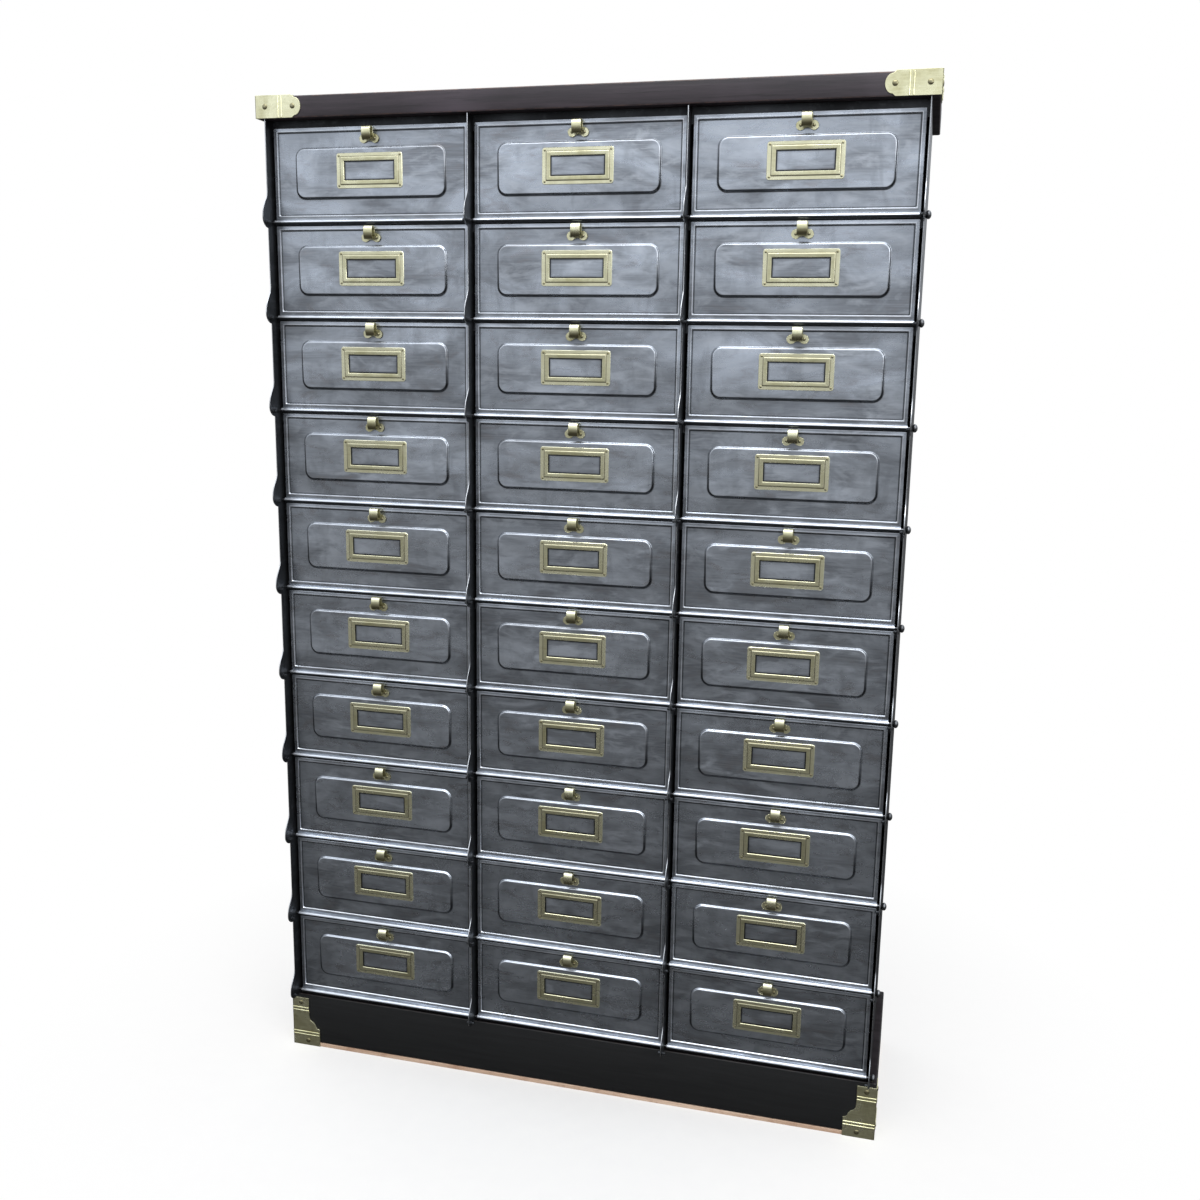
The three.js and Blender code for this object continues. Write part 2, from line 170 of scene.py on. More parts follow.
# Brass corners
TOP_LEG = 73 * MM
TOP_STRAIGHT = TOP_LEG - 8 * MM
TONGUE_CENTRE = TOP_LEG - 4 * MM
TONGUE_LENGTH = 11.2 * MM
TONGUE_HALF_HEIGHT = 14 * MM
FOOT_LEG_WIDE = 54 * MM
FOOT_LEG_NARROW = 33 * MM
BRASS_SHEET = 1.2 * MM
LEG_DEPTH = BRASS_SHEET * 0.98  # a little less than the sheet, to keep clear of the wood
CAP_CORNER_SHARE = 0.55
FIRST_NAIL = 17 * MM
LAST_TOP_NAIL = TOP_LEG - 7 * MM
LAST_FOOT_NAIL = 30 * MM
NAIL_RADIUS = 4.4 * MM
NAIL_HEIGHT = 1.6 * MM
RIB_HEIGHT = 1 * MM
RIB_WIDTH = 3 * MM
RIB_INSET = 0.6 * MM
TOP_RIBS = (40 * MM, 46 * MM)

# Studio
FLOOR_REACH = 40
FLOOR_FADE_START = -0.4  # the fade to white runs over these distances from the middle, in metres
FLOOR_FADE_END = 1.1
GROUND_NEAR = 0.07  # how bright the floor is in reflections
GROUND_FAR = 0.25
SOFT_LIGHT = 0.75
SKY = (  # (height from 0, straight down, to 1, straight up; brightness in reflections)
    (0.0, 0.05), (0.42, 0.12), (0.485, 0.3), (0.515, 0.62),
    (0.55, 0.95), (0.70, 0.95), (0.82, 1.7), (1.0, 2.2),
)
CAMERA_PLACE = Vector((0.55, -2.0712, 1.2932))
CAMERA_YAW = 14.62
CAMERA_PITCH = -11.26
CAMERA_ROLL = 0.9
FOCAL_SHARE = 1.0302  # the focal length as a share of the picture's width


# ---- Mesh helpers -----------------------------------------------------------------------------


def make_object(name, bm, material, smooth_angle=32):
    bmesh.ops.recalc_face_normals(bm, faces=bm.faces)
    mesh = bpy.data.meshes.new(name)
    bm.to_mesh(mesh)
    bm.free()
    mesh.shade_smooth()
    mesh.set_sharp_from_angle(angle=math.radians(smooth_angle))
    mesh.materials.append(material)
    piece = bpy.data.objects.new(name, mesh)
    bpy.context.scene.collection.objects.link(piece)
    return piece


def stand_for(piece, body, slot, *nodes):
    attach(piece, body)
    if nodes:
        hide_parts(*nodes)


def round_edges(piece, width, segments=2, angle=50):
    bevel = piece.modifiers.new("rounded_edges", "BEVEL")
    bevel.width = width
    bevel.segments = segments
    bevel.limit_method = "ANGLE"
    bevel.angle_limit = math.radians(angle)


def paint(verts, layer, amount):
    """Gives verts an amount, from 0 to 1, on one of the two layers: the one for worn edges and painted
    highlights, the one for dirt and painted shade.
    """
    for vert in verts:
        vert[layer] = amount


def join_rings(bm, first, second):
    """Faces between two closed rings of equally many verts."""
    for i in range(len(first)):
        j = (i + 1) % len(first)
        bm.faces.new((first[i], first[j], second[j], second[i]))


def close_to_tip(bm, ring, tip):
    """Faces from a closed ring to one vert."""
    for i in range(len(ring)):
        bm.faces.new((ring[i], ring[(i + 1) % len(ring)], tip))


def prism(bm, outline, to_world, start, end):
    """A closed outline of (a, b) points carried from start to end; to_world places (a, b, along)."""
    near = [bm.verts.new(to_world(a, b, start)) for a, b in outline]
    far = [bm.verts.new(to_world(a, b, end)) for a, b in outline]
    join_rings(bm, near, far)
    bm.faces.new(near[::-1])
    bm.faces.new(far)


def along_x(y, z, x):
    return Vector((x, y, z))


def on_the_level(x, y, z):
    return Vector((x, y, z))


def from_front(place):
    """Puts a loop of (x, z) points, y deep, at a flap's hinge."""
    return lambda x, z, y: place + Vector((x, y, z))


def from_side(place):
    """Puts a section of (y, z) points, at x, at a flap's hinge."""
    return lambda y, z, x: place + Vector((x, y, z))


def rounded_loop(half_width, half_height, radius, centre_z, steps=6):
    """A rectangle round (0, centre_z) with rounded corners of steps parts each."""
    points = []
    corners = [(1, -1, -90), (1, 1, 0), (-1, 1, 90), (-1, -1, 180)]
    for side, up, first in corners:
        for step in range(steps + 1):
            angle = math.radians(first + 90 * step / steps)
            x = side * (half_width - radius) + radius * math.cos(angle)
            z = centre_z + up * (half_height - radius) + radius * math.sin(angle)
            points.append((x, z))
    return points


def lofted(bm, loops, to_world, layer=None, close_last=True):
    """Joins loops of equal length; each is (points, along, amount), where amount goes to layer."""
    rings = []
    for points, along, amount in loops:
        ring = [bm.verts.new(to_world(a, b, along)) for a, b in points]
        if layer:
            paint(ring, layer, amount)
        rings.append(ring)
    for outer, inner in zip(rings, rings[1:]):
        join_rings(bm, outer, inner)
    if close_last:
        bm.faces.new(rings[-1])
    return rings


def dome(bm, centre, facing, radius, height, grime=None, rings=4, sides=16):
    """A domed rivet or nail head whose flat back is at centre and which bulges along facing."""
    turn = facing.to_track_quat("Z", "Y").to_matrix()
    previous = None
    for ring in range(rings):
        angle = math.pi / 2 * ring / rings
        across = radius * math.cos(angle)
        up = height * math.sin(angle)
        verts = []
        for side in range(sides):
            around = 2 * math.pi * side / sides
            local = Vector((across * math.cos(around), across * math.sin(around), up))
            verts.append(bm.verts.new(centre + turn @ local))
        if grime:
            paint(verts, grime, 0.95 - 0.3 * ring / rings)
        if previous:
            join_rings(bm, previous, verts)
        else:
            bm.faces.new(verts[::-1])
        previous = verts
    tip = bm.verts.new(centre + turn @ Vector((0, 0, height)))
    if grime:
        tip[grime] = 0.6
    close_to_tip(bm, previous, tip)


def turned_bar(bm, profile, to_world, sides=20):
    """A profile of (radius, along) points turned round its axis; it starts and ends on the axis."""
    rings = []
    for radius, along in profile[1:-1]:
        ring = []
        for side in range(sides):
            angle = 2 * math.pi * side / sides
            spot = to_world(radius * math.cos(angle), radius * math.sin(angle), along)
            ring.append(bm.verts.new(spot))
        rings.append(ring)
    for first, second in zip(rings, rings[1:]):
        join_rings(bm, first, second)
    for (_, along), ring in ((profile[0], rings[0]), (profile[-1], rings[-1])):
        close_to_tip(bm, ring, bm.verts.new(to_world(0, 0, along)))


def bezier(start, handle_1, handle_2, end, steps):
    """Points on a curve after its start, up to and with its end."""
    points = []
    for step in range(1, steps + 1):
        t = step / steps
        weights = ((1 - t) ** 3, 3 * (1 - t) ** 2 * t, 3 * (1 - t) * t * t, t ** 3)
        spots = (start, handle_1, handle_2, end)
        a = sum(weight * spot[0] for weight, spot in zip(weights, spots))
        b = sum(weight * spot[1] for weight, spot in zip(weights, spots))
        points.append((a, b))
    return points


# ---- Materials --------------------------------------------------------------------------------


class Nodes:
    """A short way to write a node tree: add returns a new node, the others one's output."""

    def __init__(self, name):
        self.material = bpy.data.materials.new(name)
        self.material.use_nodes = True
        self.tree = self.material.node_tree
        self.shader = self.tree.nodes["Principled BSDF"]
        self.place = self.add("ShaderNodeTexCoord").outputs["Object"]

    def add(self, kind, inputs=None, **settings):
        node = self.tree.nodes.new(kind)
        for key, value in settings.items():
            setattr(node, key, value)
        for key, value in (inputs or {}).items():
            if isinstance(value, bpy.types.NodeSocket):
                self.tree.links.new(value, node.inputs[key])
            else:
                node.inputs[key].default_value = value
        return node

    def stretched(self, scale):
        return self.add("ShaderNodeMapping", {"Vector": self.place, "Scale": scale}).outputs["Vector"]

    def noise(self, scale, detail=4, roughness=0.55, stretch=(1, 1, 1), distortion=0.0):
        inputs = {
            "Vector": self.stretched(stretch),
            "Scale": scale,
            "Detail": detail,
            "Roughness": roughness,
            "Distortion": distortion,
        }
        return self.add("ShaderNodeTexNoise", inputs).outputs["Fac"]

    def ramp(self, value, low, high, start=0.0, end=1.0):
        inputs = {"Value": value, "From Min": low, "From Max": high, "To Min": start, "To Max": end}
        return self.add("ShaderNodeMapRange", inputs).outputs["Result"]

    def mix(self, factor, first, second):
        inputs = {0: factor, 6: first, 7: second}  # a colour mix's sockets go by number
        return self.add("ShaderNodeMix", inputs, data_type="RGBA").outputs[2]

    def total(self, first, second):
        return self.add("ShaderNodeMath", {0: first, 1: second}, operation="ADD").outputs[0]

    def attribute(self, name):
        return self.add("ShaderNodeAttribute", attribute_name=name).outputs["Fac"]

    def bump(self, height, distance, strength=1.0, under=None):
        inputs = {"Height": height, "Distance": distance, "Strength": strength}
        if under:
            inputs["Normal"] = under
        return self.add("ShaderNodeBump", inputs).outputs["Normal"]

    def finish(self, colour, roughness, normal, metallic):
        self.tree.links.new(colour, self.shader.inputs["Base Color"])
        self.tree.links.new(roughness, self.shader.inputs["Roughness"])
        self.tree.links.new(normal, self.shader.inputs["Normal"])
        self.shader.inputs["Metallic"].default_value = metallic
        return self.material


def grey(value, blue=1.0):
    """A grey that leans to blue by the share blue."""
    return (value, value * (1 + 0.06 * blue), value * (1 + 0.15 * blue), 1)


def flap_steel():
    """Bare steel, brushed across, clouded blue-grey by age and polished along its edges, with painted
    highlights and painted shade from its layers.
    """
    n = Nodes("brushed_flap_steel")
    clouds = n.noise(6, 4, 0.6, stretch=(1, 1, 2.4), distortion=1.1)
    smears = n.noise(19, 5, 0.65, stretch=(1, 1, 3), distortion=0.7)
    stains = n.noise(11, 4, 0.6, stretch=(2.6, 1, 0.9), distortion=0.5)
    streaks = n.noise(60, 3, 0.6, stretch=(0.25, 1, 14))
    fine = n.noise(420, 2, 0.5, stretch=(0.05, 1, 1.2))
    specks = n.noise(520, 2, 0.6)
    dark = n.mix(n.ramp(clouds, 0.38, 0.62), grey(0.24, 1.3), grey(0.52, 1.5))
    patina = n.mix(n.ramp(smears, 0.48, 0.66, 0.0, 0.6), dark, grey(0.58, 1.1))
    brown = n.mix(n.ramp(smears, 0.44, 0.30, 0.0, 0.45), patina, (0.27, 0.245, 0.245, 1))
    stained = n.mix(n.ramp(stains, 0.54, 0.66, 0.0, 0.4), brown, grey(0.25, 1.5))
    brushed = n.mix(n.ramp(streaks, 0.35, 0.7, 0.0, 0.3), stained, grey(0.56, 1.2))
    spotted = n.mix(n.ramp(specks, 0.66, 0.76, 0.0, 0.3), brushed, grey(0.14))
    # The first layer brightens worn edges and paints highlights; the second paints shade, near black, in
    # the creases, under the roll and at the window's edge, and darkens the flat field a little.
    worn = n.mix(n.attribute("wear"), spotted, grey(0.9, 0.5))
    grooves = n.mix(n.attribute("grime"), worn, grey(0.03))
    rough = n.ramp(clouds, 0.35, 0.65, 0.38, 0.24)
    rough = n.total(rough, n.ramp(smears, 0.35, 0.65, -0.05, 0.06))
    waves = n.bump(n.noise(6, 2, 0.4, stretch=(1, 1, 1.5)), 0.02, 0.3)
    normal = n.bump(fine, 0.00003, 0.25, under=n.bump(streaks, 0.0001, 0.18, under=waves))
    return n.finish(grooves, rough, normal, 0.93)


def casing_steel():
    """Dark blued sheet, rubbed brighter in patches; its base colours are lowered partly as painted shade
    for the lip under the top board's overhang.
    """
    n = Nodes("dark_casing_steel")
    clouds = n.noise(9, 4, 0.6)
    scratches = n.noise(90, 3, 0.65, stretch=(1, 0.2, 1))
    base = n.mix(n.ramp(clouds, 0.35, 0.7), grey(0.022), grey(0.062, 1.2))
    rubbed = n.mix(n.ramp(scratches, 0.55, 0.8, 0.0, 0.3), base, grey(0.15))
    worn = n.mix(n.attribute("wear"), rubbed, grey(0.6, 0.5))
    rough = n.ramp(clouds, 0.3, 0.7, 0.5, 0.36)
    return n.finish(worn, rough, n.bump(scratches, 0.0001, 0.4), 0.85)


def rod_steel():
    n = Nodes("polished_rod_steel")
    clouds = n.noise(16, 4, 0.6)
    rings = n.noise(300, 2, 0.5, stretch=(1, 0.1, 0.1))
    colour = n.mix(n.ramp(clouds, 0.35, 0.7), grey(0.3, 0.6), grey(0.62, 0.5))
    dull = n.mix(n.attribute("grime"), colour, grey(0.04, 0.5))
    rough = n.ramp(clouds, 0.3, 0.7, 0.34, 0.2)
    return n.finish(dull, rough, n.bump(rings, 0.00005, 0.4), 0.96)


def brass():
    """Pale aged brass, brushed, with brown in its hollows, and brown painted shade and pale painted
    highlights from its layers.
    """
    n = Nodes("aged_brass")
    clouds = n.noise(24, 4, 0.6, distortion=0.5)
    streaks = n.noise(260, 3, 0.6, stretch=(0.12, 1, 1.4))
    specks = n.noise(700, 2, 0.6)
    base = n.mix(n.ramp(clouds, 0.34, 0.66), (0.56, 0.53, 0.30, 1), (0.92, 0.90, 0.62, 1))
    brushed = n.mix(n.ramp(streaks, 0.4, 0.75, 0.0, 0.4), base, (0.94, 0.93, 0.68, 1))
    spotted = n.mix(n.ramp(specks, 0.62, 0.74, 0.0, 0.45), brushed, (0.3, 0.25, 0.13, 1))
    # Dark brown where painted shade falls (the holder's groove and window edge, under the pull's strap)
    # and on nail and rivet heads; pale on worn edges and on painted highlights (the top of the pull's
    # strap).
    hollow = n.mix(n.attribute("grime"), spotted, (0.13, 0.11, 0.055, 1))
    worn = n.mix(n.attribute("wear"), hollow, (0.96, 0.94, 0.72, 1))
    rough = n.ramp(clouds, 0.3, 0.7, 0.36, 0.22)
    return n.finish(worn, rough, n.bump(streaks, 0.00006, 0.5), 0.93)


def dark_wood():
    """Near-black stained wood with its grain along the board, rubbed brown along its edges."""
    n = Nodes("stained_wood")
    grain = n.noise(14, 6, 0.65, stretch=(0.35, 4, 6), distortion=0.8)
    pores = n.noise(240, 3, 0.6, stretch=(0.06, 1, 1.2))
    bloom = n.noise(5, 3, 0.5)
    base = n.mix(n.ramp(grain, 0.3, 0.72), (0.012, 0.009, 0.012, 1), (0.036, 0.027, 0.034, 1))
    hazed = n.mix(n.ramp(bloom, 0.45, 0.7, 0.0, 0.5), base, (0.085, 0.068, 0.088, 1))
    lined = n.mix(n.ramp(pores, 0.58, 0.75, 0.0, 0.7), hazed, (0.006, 0.005, 0.005, 1))
    sooty = n.mix(n.ramp(grain, 0.3, 0.7), grey(0.003), grey(0.009))
    low = n.mix(n.attribute("grime"), lined, sooty)
    rubbed = n.mix(n.ramp(n.noise(50, 4, 0.7), 0.4, 0.62, 0.0, 0.9), low, (0.2, 0.105, 0.07, 1))
    worn = n.mix(n.attribute("wear"), low, rubbed)
    rough = n.ramp(grain, 0.3, 0.7, 0.48, 0.36)
    rough = n.total(rough, n.ramp(n.attribute("grime"), 0, 1, 0.0, 0.1))
    normal = n.bump(pores, 0.0003, 0.5, under=n.bump(grain, 0.0006, 0.3))
    return n.finish(worn, rough, normal, 0.0)


def dull_shaded_wood():
    """The same wood unpolished and darker, as painted shade, where the top and the plinth reach past the
    casing.
    """
    n = Nodes("unpolished_wood")
    grain = n.noise(14, 6, 0.65, stretch=(0.35, 4, 6), distortion=0.8)
    base = n.mix(n.ramp(grain, 0.3, 0.72), (0.008, 0.006, 0.007, 1), (0.022, 0.017, 0.02, 1))
    n.shader.inputs["Specular IOR Level"].default_value = 0.12
    return n.finish(base, n.ramp(grain, 0.3, 0.7, 0.8, 0.65), n.bump(grain, 0.0005, 0.4), 0.0)


def raw_wood():
    n = Nodes("raw_wood_edge")
    grain = n.noise(18, 5, 0.6, stretch=(0.3, 3, 5), distortion=0.5)
    dirt = n.noise(40, 4, 0.7)
    base = n.mix(n.ramp(grain, 0.3, 0.7), (0.44, 0.29, 0.2, 1), (0.68, 0.52, 0.4, 1))
    dirty = n.mix(n.ramp(dirt, 0.5, 0.75, 0.0, 0.6), base, (0.3, 0.14, 0.08, 1))
    return n.finish(dirty, n.ramp(grain, 0.3, 0.7, 0.75, 0.55), n.bump(grain, 0.0004, 0.5), 0.0)


def floor_paint():
    """Pale floor that fades to white. To mirror-like rays it is a dark ground, lighter far away."""
    n = Nodes("studio_floor")
    speckle = n.noise(30, 3, 0.5)
    n.finish(
        n.mix(n.ramp(speckle, 0.3, 0.7), (0.93, 0.93, 0.935, 1), (0.96, 0.96, 0.96, 1)),
        n.ramp(speckle, 0.3, 0.7, 0.85, 0.95),
        n.bump(speckle, 0.0001, 0.1),
        0.0,
    )
    distance = n.add("ShaderNodeVectorMath", {0: n.place}, operation="LENGTH").outputs["Value"]
    rays = n.add("ShaderNodeLightPath")
    fade = n.ramp(distance, FLOOR_FADE_START, FLOOR_FADE_END)
    seen_directly = rays.outputs["Is Camera Ray"]
    fade = n.add("ShaderNodeMath", {0: fade, 1: seen_directly}, operation="MULTIPLY").outputs[0]
    white = n.add("ShaderNodeEmission", {"Color": (1, 1, 1, 1)})
    ground = n.add("ShaderNodeEmission", {"Strength": n.ramp(distance, 0.8, 6, GROUND_NEAR, GROUND_FAR)})
    seen = n.add("ShaderNodeMixShader", {0: fade, 1: n.shader.outputs[0], 2: white.outputs[0]})
    glossy = rays.outputs["Is Glossy Ray"]
    both = n.add("ShaderNodeMixShader", {0: glossy, 1: seen.outputs[0], 2: ground.outputs[0]})
    n.tree.links.new(both.outputs[0], n.tree.nodes["Material Output"].inputs["Surface"])
    return n.material


STEEL = flap_steel()
CASING_STEEL = casing_steel()
ROD_STEEL = rod_steel()
BRASS = brass()
WOOD = dark_wood()
DULL_SHADED_WOOD = dull_shaded_wood()
RAW_WOOD = raw_wood()
FLOOR_PAINT = floor_paint()


def new_bmesh():
    """An empty mesh with the two layers that the materials read: one brightens, for worn edges and
    painted highlights; the other darkens, for dirt, dark tones and painted shade.
    """
    bm = bmesh.new()
    wear = bm.verts.layers.float.new("wear")
    grime = bm.verts.layers.float.new("grime")
    return bm, wear, grime


# ---- Flaps ------------------------------------------------------------------------------------


def sheet_loops():
    """Front of the pressed sheet from its outer edge to the raised panel: (loop, y, how bright it is
    painted, for worn edges and painted highlights).
    """
    middle = (FLAP_FOOT + FLAP_RISE) / 2
    half_height = (FLAP_RISE - FLAP_FOOT) / 2
    field_middle = (BOTTOM_HEM_TOP + FLAP_RISE - HEM_WIDTH) / 2
    field_half_height = (FLAP_RISE - HEM_WIDTH - BOTTOM_HEM_TOP) / 2
    field_half_width = FLAP_WIDTH / 2 - HEM_WIDTH
    field_y = HEM_Y + RECESS

    def edge(inset, y, worn):
        loop = rounded_loop(FLAP_WIDTH / 2 - inset, half_height - inset, 1.6 * MM - inset / 2, middle)
        return loop, y, worn

    def hem(inset, y, worn):
        half_width = field_half_width - inset
        half = field_half_height - inset
        return rounded_loop(half_width, half, 1.5 * MM, field_middle), y, worn

    def emboss(inset, y, worn):
        half_width = EMBOSS_WIDTH / 2 - inset
        half = EMBOSS_HEIGHT / 2 - inset
        return rounded_loop(half_width, half, EMBOSS_RADIUS - inset, PANEL_CENTRE), y, worn

    # The bright values on the rims and ridges are worn edges and painted highlights; the raised panel's
    # is kept only along its upper edge, which faces up.
    outer = [
        edge(0, field_y + SHEET, 0.0),
        edge(0, HEM_Y + 0.7 * MM, 0.2),
        edge(0.25 * MM, HEM_Y + 0.2 * MM, 0.4),
        edge(0.8 * MM, HEM_Y, 0.15),
        edge(1.4 * MM, HEM_Y, 0.0),
    ]
    fold = [
        hem(-1.6 * MM, HEM_Y, 0.0),
        hem(-0.8 * MM, HEM_Y - 0.25 * MM, 0.4),
        hem(0, HEM_Y - 0.1 * MM, 0.45),
        hem(0.6 * MM, HEM_Y + 0.9 * MM, 0.1),
        hem(1.2 * MM, HEM_Y + 1.8 * MM, 0.0),
        hem(2.0 * MM, field_y, 0.0),
        hem(3.2 * MM, field_y, 0.0),
    ]
    top_y = field_y - EMBOSS_DEPTH
    raised = [
        emboss(-2.2 * MM, field_y, 0.0),
        emboss(-1.1 * MM, field_y - 0.05 * MM, 0.0),
        emboss(-0.1 * MM, field_y - 0.5 * MM, 0.0),
        emboss(0.6 * MM, field_y - 1.6 * MM, 0.1),
        emboss(1.2 * MM, top_y + 0.45 * MM, 0.3),
        emboss(2.0 * MM, top_y + 0.05 * MM, 0.25),
        emboss(3.0 * MM, top_y, 0.0),
        emboss(4.0 * MM, top_y, 0.0),
    ]
    return outer, fold, raised


def back_loops(fold, raised):
    back = HEM_Y + RECESS + SHEET
    loops = [(fold[-1][0], back, 0.0)]
    loops += [(points, min(back, y + SHEET), 0.0) for points, y, _ in raised]
    return loops


def roll_outline():
    """The sheet's bottom edge, rolled under, forwards and up over the rod."""
    sweep = math.radians(ROLL_SWEEP)
    steps = 26
    inner = ROLL_RADIUS - ROLL_SHEET
    outside = []
    inside = []
    for step in range(steps + 1):
        angle = sweep * step / steps
        outside.append((ROLL_RADIUS * math.cos(angle), -ROLL_RADIUS * math.sin(angle)))
        inside.append((inner * math.cos(angle), -inner * math.sin(angle)))
    return [(ROLL_RADIUS, ROLL_NECK)] + outside + inside[::-1] + [(inner, ROLL_NECK)]


def verts_below(rings, z):
    return [vert for ring in rings for vert in ring if vert.co.z < z]


def shade_and_light_sheet(rings, first_fold, first_raised, place, wear, grime):
    """Puts painted shade on the raised panel's lower edge and in the creases, darkens the flat field a
    little, and puts a painted highlight along the fold of the bottom hem.
    """
    # The raised panel's lower edge faces down: its bright rim is taken off and painted shade put on.
    lower_edge = verts_below(rings[first_raised + 1:first_raised + 6], place.z + PANEL_CENTRE)
    paint(lower_edge, wear, 0.0)
    paint(lower_edge, grime, 0.9)
    # A painted highlight along the bottom hem's fold, which faces up.
    folds = rings[first_fold + 1:first_fold + 4]
    paint(verts_below(folds, place.z + BOTTOM_HEM_TOP + 2 * MM), wear, 0.85)
    # Painted shade in the crease inside the hem and at the raised panel's foot; the flat field between
    # is only darkened a little.
    for step, amount in ((-3, 0.8), (-2, 0.9), (-1, FIELD_DARKENING), (0, FIELD_DARKENING), (1, 0.7)):
        paint(rings[first_raised + step], grime, amount)


def pressed_flap(name, place):
    bm, wear, grime = new_bmesh()
    outer, fold, raised = sheet_loops()
    rings = lofted(bm, outer + fold + raised, from_front(place), wear)
    shade_and_light_sheet(rings, len(outer), len(outer) + len(fold), place, wear, grime)
    behind = lofted(bm, [outer[0]] + back_loops(fold, raised), from_front(place))
    bmesh.ops.weld_verts(bm, targetmap=dict(zip(behind[0], rings[0])))
    sheet_verts = set(bm.verts)
    half = FLAP_WIDTH / 2
    prism(bm, roll_outline(), from_side(place), -half, half)
    # The roll: a painted highlight on its top and painted shade on its underside.
    for vert in set(bm.verts) - sheet_verts:
        lit = vert.co.z > place.z + ROLL_LIT_ABOVE
        vert[wear] = 0.4 if lit else 0.0
        vert[grime] = 0.0 if lit else 0.9
    return make_object(name, bm, STEEL, 35)


def holder_loops(base, plate, bead):
    """From the holder's outer edge over its raised frame into the window: (loop, y, how bright it is
    painted, for worn edges and painted highlights).
    """
    flange = (LABEL_WIDTH, LABEL_HEIGHT)
    raised = (WINDOW_WIDTH + WINDOW_FRAME, WINDOW_HEIGHT + WINDOW_FRAME)
    window = (WINDOW_WIDTH, WINDOW_HEIGHT)

    def loop(size, growth, radius, y, worn):
        half_width, half_height = ((length + growth * MM) / 2 for length in size)
        return rounded_loop(half_width, half_height, radius * MM, LABEL_CENTRE, 4), y, worn

    return [
        loop(flange, 0, 4, base + 0.3 * MM, 0.0),
        loop(flange, 0, 4, plate + 0.4 * MM, 0.5),
        loop(flange, -1, 3.6, plate, 0.5),
        loop(flange, -3, 3, plate, 0.3),
        loop(raised, 2.6, 1.5, plate, 0.3),
        loop(raised, 1, 1.2, plate, 0.0),
        loop(raised, -0.2, 1.2, bead + 0.25 * MM, 0.2),
        loop(raised, -1.4, 1, bead, 0.4),
        loop(raised, -3, 1, bead, 0.0),
        loop(window, 3, 0.8, bead, 0.0),
        loop(window, 1.2, 0.6, bead + 0.1 * MM, 0.3),
        loop(window, 0, 0.5, bead + 0.7 * MM, 0.1),
        loop(window, 0, 0.5, base + 0.2 * MM, 0.0),
    ]


def label_holder(name, place):
    """A pressed plate with a raised frame round its window and a rivet in each corner."""
    bm, wear, grime = new_bmesh()
    plate = PANEL_Y - LABEL_SHEET
    loops = holder_loops(PANEL_Y, plate, plate - BEAD_HEIGHT)
    rings = lofted(bm, loops, from_front(place), wear, close_last=False)
    # Painted shade in the groove round the raised frame and down the window's edge.
    for index, amount in HOLDER_SHADE:
        paint(rings[index], grime, amount)
    for side in (-1, 1):
        for up in (-1, 1):
            x = side * (LABEL_WIDTH / 2 - LABEL_RIVET_INSET)
            z = LABEL_CENTRE + up * (LABEL_HEIGHT / 2 - LABEL_RIVET_INSET)
            spot = place + Vector((x, plate, z))
            dome(bm, spot, FORWARDS, LABEL_RIVET_RADIUS, LABEL_RIVET_HEIGHT, grime, 3, 10)
    return make_object(name, bm, BRASS, 35)


def card_behind_window(name, place):
    """The thin steel plate that shows through the label holder's window, painted dark along the window's
    edge as the frame's shadow.
    """
    bm, _, grime = new_bmesh()
    loops = []
    # The third value of each rim is painted shadow from the holder's frame.
    for growth, ahead, dirt in CARD_RIMS:
        half_width = WINDOW_WIDTH / 2 + growth * MM
        half_height = WINDOW_HEIGHT / 2 + growth * MM
        loop = rounded_loop(half_width, half_height, 0.5 * MM, LABEL_CENTRE, 2)
        loops.append((loop, PANEL_Y - ahead * MM, dirt))
    rings = lofted(bm, loops, from_front(place), grime)
    bm.faces.new(rings[0][::-1])
    return make_object(name, bm, STEEL)


def pull_curl():
    """Section of the pull's strap: up from its base, over the hem's top edge, forwards and down."""
    top = PULL_TOP
    crown = top - PULL_SHEET / 2
    reach = HEM_Y - PULL_REACH
    front = reach + PULL_SHEET / 2
    spine = [(HEM_Y - 0.9 * MM, top - 17 * MM), (HEM_Y - 0.9 * MM, top - 9 * MM)]
    spine += bezier(
        spine[-1], (HEM_Y - 1 * MM, top - 1 * MM), (HEM_Y - 4 * MM, crown),
        (HEM_Y - 7 * MM, crown), 7,
    )
    spine += bezier(
        spine[-1], (HEM_Y - 11 * MM, crown), (front, top - 3.5 * MM),
        (front, top - 10 * MM), 7,
    )
    spine += bezier(
        spine[-1], (front, top - 19 * MM), (reach + 4 * MM, top - 24 * MM),
        (reach + 8.4 * MM, top - 20 * MM), 10,
    )
    left, right = [], []
    for index, (y, z) in enumerate(spine):
        before = spine[max(0, index - 1)]
        after = spine[min(len(spine) - 1, index + 1)]
        direction = Vector((after[0] - before[0], after[1] - before[1])).normalized()
        normal = Vector((-direction.y, direction.x)) * PULL_SHEET / 2
        left.append((y + normal.x, z + normal.y))
        right.append((y - normal.x, z - normal.y))
    return left + right[::-1]


def ear_outline():
    """The pull's base: a neck behind the strap that spreads into two round ears."""
    neck = PULL_WIDTH / 2 - 1 * MM
    points = [(-neck, EAR_CENTRE + 14 * MM), (-neck, EAR_CENTRE + 8 * MM)]
    for step in range(13):
        angle = math.radians(EAR_START + EAR_SWEEP * step / 12)
        x = -EAR_SPREAD + EAR_RADIUS * math.cos(angle)
        points.append((x, EAR_CENTRE + EAR_RADIUS * math.sin(angle)))
    points.append((-1.4 * MM, EAR_CENTRE - 3.2 * MM))
    mirrored = [(-x, z) for x, z in points[::-1]]
    return points + mirrored


